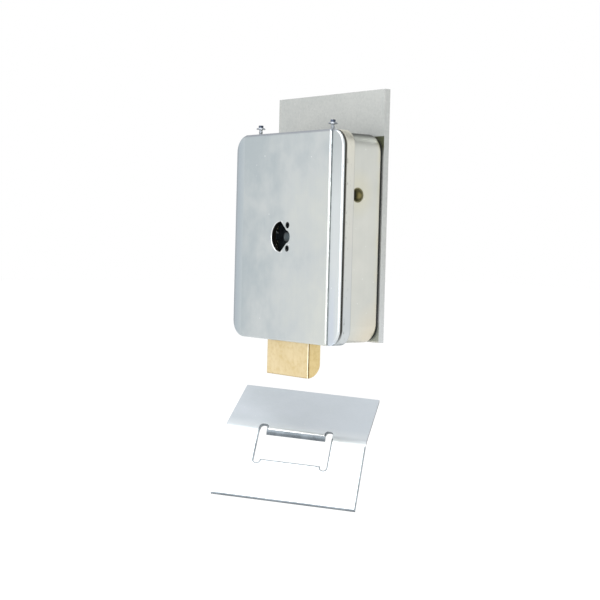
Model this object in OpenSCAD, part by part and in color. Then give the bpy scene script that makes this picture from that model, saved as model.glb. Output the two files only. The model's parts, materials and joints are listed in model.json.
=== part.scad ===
// Electric rim lock for a gate, with its mounting plate and strike plate.
// X runs to the right seen from the front, Y to the back and Z up.
// The origin lies on the back face of the mounting plate, on the key axis.

/* [Front cover] */
// Width of the front cover
cover_w = 109.5; // [106:0.5:116]
// Height of the front cover
cover_h = 130; // [124:1:145]
// Corner radius of the cover and lid outline
corner_r = 10.5; // [9.5:0.5:13]
// Sheet thickness of the cover
cover_sheet = 1.5; // [1.2:0.1:2]
// Width of the raised centre panel
panel_w = 89; // [80:0.5:90]
// How far the centre panel stands proud of the side strips
panel_step = 1.45; // [0.8:0.05:2]
// Radius of the rounded front edges of panel and strips
cover_edge_r = 1.3; // [0.5:0.1:1.4]
// Thickness of the gasket between cover and lid
gasket_t = 0.9; // [0.4:0.1:1.5]

/* [Key opening] */
// Radius of the wide left part of the key opening
key_big_r = 9.5; // [8:0.1:10.5]
// Distance of the wide part's centre to the left of the key axis
key_big_x = 3.1; // [2:0.1:4]
// Radius of the narrow right lobe
key_lobe_r = 4; // [3:0.1:4.5]
// Distance of the lobe's centre to the right of the key axis
key_lobe_x = 2.7; // [2:0.1:3.5]
// Diameter of the two cylinder fixing holes
key_hole_d = 4; // [3:0.1:4.4]
// Distance between the two cylinder fixing holes
key_hole_pitch = 14.5; // [13.5:0.1:15.5]
// Distance of these holes to the right of the key axis
key_hole_x = 4; // [3.8:0.1:5]

/* [Lid] */
// Sheet thickness of the lid
lid_sheet = 1.2; // [0.8:0.1:1.5]
// Depth of the lid's side walls
lid_depth = 7; // [6.5:0.05:9]
// Radius of the lid's front edge
lid_edge_r = 1.6; // [1.5:0.1:2.5]
// Radius of the clearance hole behind the key opening
lid_hole_r = 12; // [11.6:0.1:13]

/* [Case] */
// Sheet thickness of the drawn case
case_sheet = 1.5; // [1.2:0.1:2]
// Depth of the case
case_depth = 27.95; // [27:0.05:32]
// Corner radius of the case's outline
case_corner_r = 12; // [9.2:0.1:14]
// Outer radius of the case's back edge
case_edge_r = 2.5; // [1.8:0.1:5]
// Thickness of the pad between case and mounting plate
pad_t = 1; // [0.5:0.1:2]
// Gap between case and lid walls
lid_gap = 0.1; // [0.05:0.05:0.3]
// Diameter of the cable entry in the right wall
cable_d = 9; // [7:0.5:10]
// Height of the cable entry above the key axis
cable_z = 25.9; // [20:0.1:30]
// Distance of the cable entry in front of the case's back face
cable_y = 18.5; // [17:0.1:20]

/* [Mounting plate] */
// How far the plate's sides lie inside the cover's
plate_inset = 1.25; // [0:0.05:4]
// Thickness of the mounting plate
plate_t = 4; // [3:0.5:6]
// How far the plate stands above the cover
plate_above = 26; // [15:0.5:40]
// How far the plate ends above the cover's lower edge
plate_short = 1.7; // [0:0.1:5]

/* [Bolt] */
// Width of the bolt
bolt_w = 42.4; // [40:0.2:44]
// Thickness of the bolt
bolt_t = 10; // [9:0.25:11]
// How far the bolt stands out below the cover
bolt_out = 22; // [20:0.5:24]
// Length of the bolt head
bolt_len = 51; // [48:0.5:53]
// Radius of the rounded back edge at the bolt's tip
bolt_nose_r = 9.6; // [4:0.1:9.8]
// Radius of the bolt's long edges
bolt_edge_r = 0.6; // [0.3:0.1:1]
// Travel of the bolt
bolt_travel = 21; // [18:0.5:22]
// Width of the bolt's tail bar
tail_w = 12; // [11.6:0.1:13]
// Thickness of the tail bar
tail_t = 4; // [3:0.25:5]

/* [Lever and key hub] */
// Height of the lever's pivot above the key axis
pivot_z = 22; // [21:0.25:24]
// Length of the lever's arm on the coil side
lever_short = 18; // [17:0.25:19]
// Thickness of the lever
lever_t = 3; // [2:0.25:4]
// Diameter of the lever's pivot pin
pivot_d = 6; // [5:0.25:7]
// Length of the hub's arm
hub_arm = 16; // [15:0.25:16.5]
// Diameter of the hub's front stub
hub_stub_d = 7; // [6:0.25:8]
// Diameter of the hub's spindle
hub_spindle_d = 10; // [8:0.25:11]
// Diameter of the drive pins in lever and hub
drive_pin_d = 4; // [3:0.25:4.5]

/* [Coil] */
// Diameter of the plunger
plunger_d = 10; // [8:0.25:11]
// Diameter of the bobbin's flanges
bobbin_d = 21.5; // [20:0.5:22]
// Thickness of the yoke's sheet
yoke_t = 2; // [1.5:0.25:2.5]
// Width of the yoke
yoke_w = 16.4; // [14:0.2:17]
// Diameter of the insulated coil leads
lead_d = 1.6; // [1:0.1:2]

/* [Springs] */
// Wire diameter of the bolt spring
spring_wire = 1.2; // [0.8:0.1:1.6]
// Outside diameter of the bolt spring
spring_d = 9; // [7.5:0.25:10]
// Number of turns of the bolt spring
spring_turns = 11; // [8:1:13]
// Diameter of the rod that guides the spring
rod_d = 4; // [3:0.25:5]

/* [Cover screws] */
// Thread diameter of the two cover screws
screw_d = 2.5; // [2:0.1:3]
// Distance of each cover screw from the cover's side
screw_side_gap = 17.85; // [15.9:0.05:22]
// Shank length of the cover screws
screw_len = 12; // [10:0.5:14]
// How far the left screw's flange stands above the lid
screw_left_out = 5.8; // [0:0.1:6]
// How far the right screw's flange stands above the lid
screw_right_out = 3.2; // [0:0.1:6]

/* [Strike plate] */
// Width of the strike plate
strike_w = 90; // [70:1:110]
// Sheet thickness of the strike plate
strike_t = 2; // [1.5:0.1:3]
// Length of the upper flat
strike_up = 63.8; // [40:0.2:80]
// Length of the lower flat
strike_low = 47.2; // [34:0.2:60]
// Bend between the two flats in degrees
strike_bend = 36.7; // [20:0.1:45]
// Inner radius of the bend
strike_bend_r = 10; // [2:0.25:12]
// Width of the hole for the bolt
strike_hole_w = 46.4; // [44:0.2:56]
// Length of the hole for the bolt
strike_hole_len = 20.6; // [16:0.2:24]
// Width of the corner notches of the hole
strike_notch_w = 4.3; // [3:0.1:6]
// How far the lip at the hole's upper edge is bent down
strike_lip = 4; // [3.5:0.1:8]

/* [Hidden] */
$fn = 64;

// Radial clearance of pins and shafts in their holes
fit = 0.05;
// Clearance between sliding flat faces
slide_gap = 0.3;
// Overshoot of cuts past the faces that they open
cut = 1;

// Depth stations, back to front
plate_front = -plate_t;
case_back = plate_front - pad_t;
case_floor = case_back - case_sheet;
case_rim = case_back - case_depth;
lid_in = case_rim - (lid_edge_r - lid_sheet);
lid_front = lid_in - lid_sheet;
lid_back = lid_front + lid_depth;
cover_back = lid_front - gasket_t;
strip_front = cover_back - cover_sheet;
panel_front = strip_front - panel_step;
panel_back = panel_front + cover_sheet;

// Half sizes of cover, lid and case, and the cover screws in them
half_w = cover_w / 2;
half_h = cover_h / 2;
screw_x = half_w - screw_side_gap;
case_inset = lid_sheet + lid_gap;
case_half_w = half_w - case_inset;
case_half_h = half_h - case_inset;
case_in_h = case_half_h - case_sheet;
case_in_w = case_half_w - case_sheet;
floor_half_h = case_half_h - case_edge_r;
plate_w = cover_w - 2 * plate_inset;
lid_hole_shift = 0.6;
lid_hole_x = key_big_x - lid_hole_shift;
gasket_inset = 1.8;
gasket_w = 5;

// Screws and pad between case and plate
case_screw_d = 5;
case_screw_head_d = 9;
case_screw_head_h = 2.8;
case_screw_inset_x = 7.5;
case_screw_inset_z = 12.7;
case_screw_x = case_half_w - case_screw_inset_x;
case_screw_z = case_half_h - case_screw_inset_z;
case_screw_short = 0.3;
pad_inset = 1.05;

// Bush in the cable entry
bush_sheet = 0.6;
bush_len = 6.5;
bush_sunk = 0.2;
bush_rim = 1.4;
bush_rim_t = 1;

// Bolt stations
bolt_front = lid_in + slide_gap;
bolt_back = bolt_front + bolt_t;
bolt_tip = -half_h - bolt_out;
bolt_top = bolt_tip + bolt_len;
bolt_slot_half = bolt_w / 2 + slide_gap;
tail_edge = 4;
tail_back = bolt_back;
tail_front = tail_back - tail_t;
tail_mid_y = (tail_front + tail_back) / 2;
tail_left = -hub_arm - tail_edge;
tail_mid_x = tail_left + tail_w / 2;
tail_lap = 14;
tail_top = 24;
rivet_d = 4;
rivet_z = [bolt_top - tail_lap / 4, bolt_top - 3 * tail_lap / 4];

// Guide round the bolt
guide_sheet = 2;
guide_h = 22;
guide_inset = 4.5;
guide_foot = 9;

// Coil beside the case's right wall, and the lever's pivot beside the coil
coil_wall_gap = 3.2;
coil_x = case_in_w - coil_wall_gap - bobbin_d / 2;
pivot_x = coil_x - lever_short;

// Swing of lever and hub to each side of level
lever_long = pivot_x + hub_arm;
lever_swing = asin(bolt_travel / 2 / lever_long);
hub_swing = asin(bolt_travel / 2 / hub_arm);
plunger_rest = lever_short * tan(lever_swing);
pin_slack = 0.2;
hub_slack = 0.5;
slot_end_gap = 0.3;

// Lever, its pivot and its clip
lever_gap = 1.95;
lever_front = tail_back + lever_gap;
lever_back = lever_front + lever_t;
lever_half = 5;
lever_boss_r = 7;
lever_tip = 4.5;
pivot_shoulder = 2;
pivot_tip = 2.4;
clip_t = 0.8;
clip_groove = 0.6;
clip_side_gap = 0.05;
clip_rim = 2.25;
clip_mouth = 3.2;

// Key hub and its bush
hub_gap = 0.35;
hub_plate_t = 3.3;
hub_back = tail_front - hub_gap;
hub_front = hub_back - hub_plate_t;
hub_nose_gap = 0.7;
hub_nose = panel_back + hub_nose_gap;
hub_boss_r = 8;
hub_end_r = 4;
hub_flat = 5.5;
hub_flat_len = 4;
hub_dome_r = 9;
hub_collar = 1.5;
hub_collar_h = 2;
hub_bush_gap = 3;
hub_bush_front = lever_back + hub_bush_gap;
hub_bush_wall = 2.5;
hub_bush_flange = 3;
hub_bush_flange_t = 2;
pin_recess = 0.2;

// Coil stations
coil_y = (lever_front + lever_back) / 2;
link_z = pivot_z + plunger_rest;
fork_above = 5.5;
fork_below = 3;
plunger_len = 41;
plunger_top = link_z + fork_above;
plunger_low = plunger_top - plunger_len;
plunger_slot_bottom = link_z - lever_half - fork_below;
link_pin_d = 3.5;
link_pin_short = 0.75;
coil_gap = 0.1;
bobbin_wall = 1.4;
bobbin_flange = 1.5;
bobbin_end_gap = 0.2;
winding_inset = 0.75;
yoke_half = yoke_w / 2;
yoke_tab = 7.8;
yoke_head_gap = 0.5;
yoke_tab_low = -case_screw_z + case_screw_head_d / 2 + yoke_head_gap;
yoke_low = yoke_tab_low + yoke_tab;
bobbin_low = yoke_low + yoke_t + bobbin_end_gap;
bobbin_top = 2;
yoke_top = bobbin_top + bobbin_end_gap;
yoke_tab_top = yoke_top + yoke_t + yoke_tab;
yoke_front = coil_y - bobbin_d / 2;
yoke_screw_d = 4;
yoke_screw_head_d = 7;
yoke_screw_head_h = 2.2;
yoke_screw_z = [yoke_tab_low + yoke_tab / 2, yoke_tab_top - yoke_tab / 2];
core_air_gap = 0.5;
core_top = plunger_low - 2 * plunger_rest - core_air_gap;
core_stud_d = 6;
core_nut_h = 5;
core_nut_d = 11.5;

// Bolt spring and its bracket
rod_offset = 8.5;
rod_x = tail_left - rod_offset;
bracket_half = 6;
bracket_sheet = 3;
bracket_inset = 6;
bracket_top = floor_half_h - bracket_inset;
bracket_low = -28;
lug_half_h = 2;
lug_half_w = 5;
lug_half_d = 5.5;
spring_steps = 14;
spring_sides = 8;

// Terminal block and coil leads
term_w = 24;
term_h = 11;
term_d = 13;
term_offset = 16;
term_x = pivot_x - term_offset;
term_inset = 10;
term_top = case_in_h - term_inset;
term_low = term_top - term_h;
term_mid_x = term_x + term_w / 2;
term_mid_z = term_top - term_h / 2;
term_front = case_floor - term_d;
term_pitch = 12;
term_rib = 1.5;
term_rib_h = 2;
term_bore_d = 3.2;
term_bore_depth = 8;
term_well_d = 5.2;
term_screw_d = 5;
term_screw_sunk = 0.5;
term_clamp_gap = 0.2;
term_slot_w = 0.8;
term_slot_depth = 1.5;
lead_y = term_front + term_bore_depth;
lead_bend_r = 2.5;
lead_step = 1.8;
lead_up_x = pivot_x + pivot_d / 2 + pivot_shoulder + lead_step - lead_d / 4;
lead_run_z = term_low - 3 * lead_bend_r;
lead_tail_z = -6;

// Cover screws and the nuts under the case's top wall
screw_inset = 3.75;
screw_y = lid_front + screw_inset;
screw_hole_gap = 0.2;
screw_flange_d = 5.8;
screw_flange_h = 0.7;
screw_head_d = 3.4;
screw_head_h = 2.4;
nut_w = 4.4;
nut_h = 2.5;

// Strike plate, laid as a loose piece below the bolt
strike_pos = [4.35, -28.1, -123.1];
strike_yaw = 41.9;
strike_pitch = 18.1;
strike_roll = 4.4;
strike_out_r = strike_bend_r + strike_t;
strike_tangent = strike_out_r * tan(strike_bend / 2);
strike_notch_reach = 2.7;
bend_steps = 12;
lip_in_r = 1;
lip_out_r = lip_in_r + strike_t;

// Finishes
zinc = "#c3c9ce";
steel = "#aeb3b6";
dark_steel = "#4a4e52";
yellow_zinc = "#cdb676";
brass = "#dcc07c";
copper = "#b4693c";
black_plastic = "#2a2a2c";
white_plastic = "#e6e4dc";

// An outline in X and Z, extruded from y_back to the front
module slab(y_back, depth) {
  translate([0, y_back, 0]) rotate([90, 0, 0]) linear_extrude(depth) children();
}

// A round bar along Y from y_back to the front
module bar_y(x, z, d, y_back, depth) {
  translate([x, y_back, z]) rotate([90, 0, 0]) cylinder(d = d, h = depth);
}

// A block given by its lowest and highest corners
module block(low, high) {
  translate(low) cube(high - low);
}

// A wall section with a rounded lower outer corner
module edge_section(r, depth, edge) {
  intersection() {
    union() {
      translate([0, edge]) square([r, depth - edge]);
      square([max(r - edge, 0.01), depth]);
      translate([r - edge, edge]) circle(edge);
    }
    square([r, depth]);
  }
}

// The section of a drawn tray, from a corner's centre line outwards
module tray_section(r, depth, edge, wall) {
  difference() {
    edge_section(r, depth, edge);
    translate([0, wall]) edge_section(r - wall, depth, max(edge - wall, 0.01));
  }
}

// Carries a section round a rectangle whose corner centres lie at half_x and half_y
module round_rim(half_x, half_y) {
  for (k = [0:3]) {
    reach = k % 2 == 0 ? half_x : half_y;
    half = k % 2 == 0 ? half_y : half_x;
    rotate([0, 0, 90 * k]) translate([reach, half, 0]) {
      rotate([90, 0, 0]) linear_extrude(2 * half) children();
      rotate_extrude(angle = 90) children();
    }
  }
}

// A drawn tray: its floor lies at height 0 and its walls rise along Z
module tray(tray_half_w, tray_half_h, r, depth, edge, wall) {
  half_x = tray_half_w - r;
  half_y = tray_half_h - r;
  round_rim(half_x, half_y) tray_section(r, depth, edge, wall);
  translate([-half_x, -half_y, 0]) cube([2 * half_x, 2 * half_y, wall]);
}

// A flat sheet with rounded corners and a rounded lower edge
module soft_sheet(sheet_half_w, sheet_half_h, r, thick, edge) {
  half_x = sheet_half_w - r;
  half_y = sheet_half_h - r;
  round_rim(half_x, half_y) edge_section(r, thick, edge);
  translate([-half_x, -half_y, 0]) cube([2 * half_x, 2 * half_y, thick]);
}

// A rectangle round the origin with rounded corners
module soft_rect(wide, high, r) {
  square([wide - 2 * r, high], center = true);
  square([wide, high - 2 * r], center = true);
  for (sx = [-1, 1], sy = [-1, 1])
    translate([sx * (wide / 2 - r), sy * (high / 2 - r)]) circle(r);
}

// Outline of the key opening: a wide round left part that narrows into a lobe
module key_outline() {
  lobe_cut = 0.6;
  lobe_reach = key_lobe_x + lobe_cut;
  lobe_half = sqrt(key_lobe_r * key_lobe_r - lobe_cut * lobe_cut);
  flank_slope = 0.93;
  far = 3 * key_big_r;
  far_half = lobe_half + flank_slope * (lobe_reach + far);
  intersection() {
    translate([-key_big_x, 0]) circle(key_big_r);
    polygon([[-far, -far_half], [lobe_reach, -lobe_half], [lobe_reach, lobe_half], [-far, far_half]]);
  }
  translate([key_lobe_x, 0]) circle(key_lobe_r);
}

// Places what it is given at the four case screws
module at_case_screws() {
  for (sx = [-1, 1], sz = [-1, 1])
    translate([sx * case_screw_x, 0, sz * case_screw_z]) children();
}

// Steel plate that is welded or screwed to the gate's frame
module mounting_plate() {
  color(steel)
  difference() {
    block([-plate_w / 2, plate_front, -half_h + plate_short], [plate_w / 2, 0, half_h + plate_above]);
    at_case_screws() bar_y(0, 0, case_screw_d + 2 * fit, cut, plate_t + 2 * cut);
  }
}

// Drawn case with a notch for the bolt, a cable entry and screw holes
module rear_case() {
  through = case_sheet + 2 * cut;
  color(zinc)
  difference() {
    translate([0, case_back, 0]) rotate([90, 0, 0])
      tray(case_half_w, case_half_h, case_corner_r, case_depth, case_edge_r, case_sheet);
    block([-bolt_slot_half, case_rim - cut, -case_half_h - cut],
          [bolt_slot_half, bolt_back + slide_gap, -case_in_h + cut]);
    translate([case_in_w - cut, case_back - cable_y, cable_z]) rotate([0, 90, 0])
      cylinder(d = cable_d, h = through);
    at_case_screws() bar_y(0, 0, case_screw_d + 2 * fit, case_back + cut, through);
    for (z = yoke_screw_z)
      bar_y(coil_x, z, yoke_screw_d + 2 * fit, case_back + cut, through);
    for (side = [-1, 1])
      translate([side * screw_x, screw_y, case_in_h - cut]) cylinder(d = screw_d + 2 * fit, h = through);
  }
}

// Shallow lid that closes the case and overlaps its rim
module lid_frame() {
  through = lid_sheet + 2 * cut;
  color(zinc)
  difference() {
    translate([0, lid_front, 0]) rotate([-90, 0, 0])
      tray(half_w, half_h, corner_r, lid_depth, lid_edge_r, lid_sheet);
    block([-bolt_slot_half, lid_in, -half_h - cut],
          [bolt_slot_half, lid_back + cut, -half_h + lid_sheet + cut]);
    bar_y(-lid_hole_x, 0, 2 * lid_hole_r, lid_in + cut, through);
    for (side = [-1, 1])
      translate([side * screw_x, screw_y, half_h - lid_sheet - cut])
        cylinder(d = screw_d + 2 * screw_hole_gap, h = through);
  }
}

// Pressed front cover: raised centre panel, lower side strips and key opening
module front_cover() {
  panel_inner = panel_w / 2 - cover_sheet;
  panel_depth = panel_step + cover_sheet;
  panel_corner_r = cover_sheet + 2 * fit;
  through = cover_sheet + 2 * cut;
  color(zinc)
  difference() {
    union() {
      difference() {
        translate([0, strip_front, 0]) rotate([-90, 0, 0])
          soft_sheet(half_w, half_h, corner_r, cover_sheet, cover_edge_r);
        block([-panel_inner, strip_front - cut, -half_h - cut],
              [panel_inner, cover_back + cut, half_h + cut]);
      }
      translate([0, panel_front, 0]) rotate([-90, 0, 0])
        tray(panel_w / 2, half_h, panel_corner_r, panel_depth, cover_edge_r, cover_sheet);
    }
    slab(panel_back + cut, through) key_outline();
    for (sz = [-1, 1])
      bar_y(key_hole_x, sz * key_hole_pitch / 2, key_hole_d, panel_back + cut, through);
  }
}

// Gasket ring between cover and lid, set back from their edges
module cover_gasket() {
  out_w = cover_w - 2 * gasket_inset;
  out_h = cover_h - 2 * gasket_inset;
  color(black_plastic)
  slab(lid_front, gasket_t) difference() {
    soft_rect(out_w, out_h, corner_r - gasket_inset);
    soft_rect(out_w - 2 * gasket_w, out_h - 2 * gasket_w, corner_r - gasket_w);
  }
}

// One flanged cover screw, with the flange's lower face at height 0
module cover_screw() {
  translate([0, 0, -screw_len]) cylinder(d = screw_d, h = screw_len + cut / 2);
  cylinder(d = screw_flange_d, h = screw_flange_h);
  cylinder(d = screw_head_d, h = screw_flange_h + screw_head_h);
}

// The two cover screws, backed out of the lid
module cover_screws() {
  color(steel) {
    translate([-screw_x, screw_y, half_h + screw_left_out]) cover_screw();
    translate([screw_x, screw_y, half_h + screw_right_out]) cover_screw();
  }
}

// Square nuts under the case's top wall that take the cover screws
module screw_nuts() {
  color(steel)
  for (side = [-1, 1])
    translate([side * screw_x, screw_y, case_in_h - nut_h]) linear_extrude(nut_h) difference() {
      square(nut_w, center = true);
      circle(d = screw_d + 2 * fit);
    }
}

// Four screws that hold the case on the mounting plate
module case_screws() {
  shank = -case_floor - case_screw_short;
  color(steel)
  at_case_screws() {
    bar_y(0, 0, case_screw_head_d, case_floor, case_screw_head_h);
    bar_y(0, 0, case_screw_d, -case_screw_short, shank + cut);
  }
}

// Rubber pad between the case and the mounting plate
module case_pad() {
  pad_w = 2 * (case_half_w - pad_inset);
  pad_h = 2 * (case_half_h - pad_inset);
  color(black_plastic)
  difference() {
    slab(plate_front, pad_t) soft_rect(pad_w, pad_h, case_corner_r - pad_inset);
    at_case_screws() bar_y(0, 0, case_screw_d + 2 * fit, plate_front + cut, pad_t + 2 * cut);
  }
}

// Metal bush that lines the cable entry, with a rim behind the case's wall
module cable_bush() {
  out_d = cable_d - 2 * fit;
  inner_end = case_half_w - bush_sunk - bush_len;
  color(yellow_zinc)
  translate([inner_end, case_back - cable_y, cable_z]) rotate([0, 90, 0]) difference() {
    union() {
      cylinder(d = out_d, h = bush_len);
      translate([0, 0, bush_len + bush_sunk - case_sheet - bush_rim_t])
        cylinder(d = cable_d + 2 * bush_rim, h = bush_rim_t);
    }
    translate([0, 0, -cut]) cylinder(d = out_d - 2 * bush_sheet, h = bush_len + 2 * cut);
  }
}

// Side view of the bolt with its rounded back edge at the tip
module bolt_section() {
  nose_y = bolt_back - bolt_nose_r;
  nose_z = bolt_tip + bolt_nose_r;
  translate([bolt_front, nose_z]) square([bolt_t, bolt_top - nose_z]);
  translate([bolt_front, bolt_tip]) square([bolt_t - bolt_nose_r, bolt_nose_r + cut]);
  intersection() {
    translate([nose_y, nose_z]) circle(bolt_nose_r);
    translate([nose_y, bolt_tip]) square([bolt_nose_r, bolt_nose_r + cut]);
  }
}

// Bolt head with rounded long edges and a pocket for the tail
module bolt_head() {
  color(brass)
  difference() {
    intersection() {
      translate([-bolt_w / 2, 0, 0]) rotate([90, 0, 90]) linear_extrude(bolt_w) bolt_section();
      translate([0, (bolt_front + bolt_back) / 2, bolt_tip - cut]) linear_extrude(bolt_len + 2 * cut)
        soft_rect(bolt_w, bolt_t, bolt_edge_r);
    }
    block([tail_left - fit, tail_front - fit, bolt_top - tail_lap - fit],
          [tail_left + tail_w + fit, bolt_back + cut, bolt_top + cut]);
    for (z = rivet_z)
      bar_y(tail_mid_x, z, rivet_d + 2 * fit, bolt_back + cut, bolt_t + 2 * cut);
  }
}

// A slot along X with round ends, as a flat outline
module slot_outline(x_low, x_high, z, height) {
  translate([x_low + height / 2, z - height / 2]) square([x_high - x_low - height, height]);
  translate([x_low + height / 2, z]) circle(d = height);
  translate([x_high - height / 2, z]) circle(d = height);
}

// Tail bar with slots for hub and lever and a lug on the spring rod
module bolt_tail() {
  hub_slot_h = drive_pin_d + 2 * hub_slack;
  lever_slot_h = drive_pin_d + 2 * pin_slack;
  lever_slot_reach = lever_slot_h / 2 + slot_end_gap;
  hub_x_in = -hub_arm * cos(hub_swing);
  lever_x_in = pivot_x - lever_long * cos(lever_swing);
  lever_x_out = pivot_x - lever_long;
  lug_right = rod_x + lug_half_d;
  color(dark_steel)
  difference() {
    union() {
      block([tail_left, tail_front, bolt_top - tail_lap], [tail_left + tail_w, tail_back, tail_top]);
      block([rod_x - lug_half_w, tail_mid_y - lug_half_d, -lug_half_h],
            [lug_right, tail_mid_y + lug_half_d, lug_half_h]);
      block([lug_right - cut, tail_front, -lug_half_h], [tail_left + cut, tail_back, lug_half_h]);
    }
    slab(tail_back + cut, tail_t + 2 * cut) {
      slot_outline(-hub_arm - hub_slot_h / 2, hub_x_in + hub_slot_h / 2, -bolt_travel / 2, hub_slot_h);
      slot_outline(lever_x_out - lever_slot_reach, lever_x_in + lever_slot_reach,
                   pivot_z - bolt_travel / 2, lever_slot_h);
    }
    translate([rod_x, tail_mid_y, -lug_half_h - cut])
      cylinder(d = rod_d + 2 * fit, h = 2 * (lug_half_h + cut));
    for (z = rivet_z)
      bar_y(tail_mid_x, z, rivet_d + 2 * fit, tail_back + cut, tail_t + 2 * cut);
  }
}

// Two flush rivets between bolt head and tail
module tail_rivets() {
  color(steel)
  for (z = rivet_z)
    bar_y(tail_mid_x, z, rivet_d, bolt_back, bolt_t);
}

// Channel on the case floor that guides the bolt on three sides
module bolt_guide() {
  cheek_in = bolt_slot_half;
  cheek_out = cheek_in + guide_sheet;
  low = -floor_half_h + guide_inset;
  high = low + guide_h;
  web_front = bolt_back + slide_gap;
  color(yellow_zinc) {
    for (side = [0, 1]) mirror([side, 0, 0]) {
      block([cheek_in, bolt_front, low], [cheek_out, case_floor, high]);
      block([cheek_in - guide_foot, case_floor - guide_sheet, low], [cheek_in, case_floor, high]);
    }
    block([-cheek_in, web_front, low], [cheek_in, web_front + guide_sheet, high]);
  }
}

// Bracket with two ears that hold the spring rod
module spring_bracket() {
  ear_front = tail_mid_y - bracket_half;
  left = rod_x - bracket_half;
  right = rod_x + bracket_half;
  color(yellow_zinc)
  difference() {
    union() {
      block([left, case_floor - bracket_sheet, bracket_low], [right, case_floor, bracket_top]);
      block([left, ear_front, bracket_top - bracket_sheet], [right, case_floor, bracket_top]);
      block([left, ear_front, bracket_low], [right, case_floor, bracket_low + bracket_sheet]);
    }
    translate([rod_x, tail_mid_y, bracket_low - cut])
      cylinder(d = rod_d + 2 * fit, h = bracket_top - bracket_low + 2 * cut);
  }
}

// Rod through both ears of the bracket
module spring_rod() {
  color(steel)
  translate([rod_x, tail_mid_y, bracket_low]) cylinder(d = rod_d, h = bracket_top - bracket_low);
}

// A round wire wound along Z, as a ring of points for each step of the winding
module wound_wire(mid_r, wire, z_low, z_high, turns) {
  steps = spring_steps * turns;
  sides = spring_sides;
  lead = (z_high - z_low - wire) / turns;
  points = [
    for (i = [0:steps], j = [0:sides - 1])
      let (turn = 360 * i / spring_steps, around = 360 * j / sides)
      let (r = mid_r + wire / 2 * cos(around), climb = lead * i / spring_steps)
      [r * cos(turn), r * sin(turn), z_low + wire / 2 + climb + wire / 2 * sin(around)]
  ];
  side_faces = [
    for (i = [0:steps - 1], j = [0:sides - 1])
      let (a = i * sides + j, b = i * sides + (j + 1) % sides)
      [a, b, b + sides, a + sides]
  ];
  start_cap = [[for (j = [0:sides - 1]) sides - 1 - j]];
  end_cap = [[for (j = [0:sides - 1]) steps * sides + j]];
  polyhedron(points, concat(side_faces, start_cap, end_cap), convexity = 10);
}

// Compression spring between the tail's lug and the upper ear
module bolt_spring() {
  color(steel)
  translate([rod_x, tail_mid_y, 0])
    wound_wire((spring_d - spring_wire) / 2, spring_wire, lug_half_h + fit, bracket_top - bracket_sheet - fit,
               spring_turns);
}

// Rocking lever between plunger and bolt, at rest with its bolt end down
module release_lever() {
  slot_h = link_pin_d + 2 * pin_slack;
  slot_far = lever_short / cos(lever_swing);
  color(yellow_zinc)
  slab(lever_back, lever_t) translate([pivot_x, pivot_z]) rotate(lever_swing) difference() {
    union() {
      circle(lever_boss_r);
      translate([-lever_long, 0]) circle(lever_half);
      translate([-lever_long, -lever_half]) square([lever_long + slot_far + lever_tip, 2 * lever_half]);
    }
    circle(d = pivot_d + 2 * fit);
    translate([-lever_long, 0]) circle(d = drive_pin_d + 2 * fit);
    slot_outline(lever_short - slot_h / 2, slot_far + slot_h / 2, 0, slot_h);
  }
}

// Pin in the lever's end that lifts the bolt's tail
module lever_drive_pin() {
  pin_x = pivot_x - lever_long * cos(lever_swing);
  color(steel)
  bar_y(pin_x, pivot_z - bolt_travel / 2, drive_pin_d, lever_back, lever_back - tail_front - pin_recess);
}

// Shouldered pin on the case floor that carries the lever
module lever_pivot_pin() {
  shoulder_front = lever_back + slide_gap;
  groove_back = lever_front - slide_gap;
  color(steel)
  difference() {
    union() {
      bar_y(pivot_x, pivot_z, pivot_d + 2 * pivot_shoulder, case_floor, case_floor - shoulder_front);
      bar_y(pivot_x, pivot_z, pivot_d, shoulder_front + cut, shoulder_front + cut - lever_front + pivot_tip);
    }
    difference() {
      bar_y(pivot_x, pivot_z, pivot_d + cut, groove_back, clip_t + 2 * clip_side_gap);
      bar_y(pivot_x, pivot_z, pivot_d - 2 * clip_groove, groove_back + cut, clip_t + 3 * cut);
    }
  }
}

// Retaining ring in the pivot pin's groove
module lever_clip() {
  clip_back = lever_front - slide_gap - clip_side_gap;
  color(dark_steel)
  difference() {
    bar_y(pivot_x, pivot_z, pivot_d + 2 * clip_rim, clip_back, clip_t);
    bar_y(pivot_x, pivot_z, pivot_d - 2 * clip_groove + 2 * fit, clip_back + cut, clip_t + 2 * cut);
    block([pivot_x - clip_mouth / 2, clip_back - clip_t - cut, pivot_z - pivot_d - clip_rim],
          [pivot_x + clip_mouth / 2, clip_back + cut, pivot_z]);
  }
}

// Plunger with a forked top for the lever
module plunger() {
  color(yellow_zinc)
  difference() {
    translate([coil_x, coil_y, plunger_low]) cylinder(d = plunger_d, h = plunger_len);
    block([coil_x - plunger_d, lever_front - slide_gap, plunger_slot_bottom],
          [coil_x + plunger_d, lever_back + slide_gap, plunger_top + cut]);
    bar_y(coil_x, link_z, link_pin_d + 2 * fit, coil_y + plunger_d, 2 * plunger_d);
  }
}

// Pin across the plunger's fork
module link_pin() {
  pin_len = plunger_d - 2 * link_pin_short;
  color(steel)
  bar_y(coil_x, link_z, link_pin_d, coil_y + pin_len / 2, pin_len);
}

// Bobbin that carries the winding
module coil_bobbin() {
  bore = plunger_d + 2 * coil_gap;
  color(white_plastic)
  translate([coil_x, coil_y, bobbin_low]) difference() {
    union() {
      cylinder(d = bore + 2 * bobbin_wall, h = bobbin_top - bobbin_low);
      cylinder(d = bobbin_d, h = bobbin_flange);
      translate([0, 0, bobbin_top - bobbin_low - bobbin_flange]) cylinder(d = bobbin_d, h = bobbin_flange);
    }
    translate([0, 0, -cut]) cylinder(d = bore, h = bobbin_top - bobbin_low + 2 * cut);
  }
}

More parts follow.
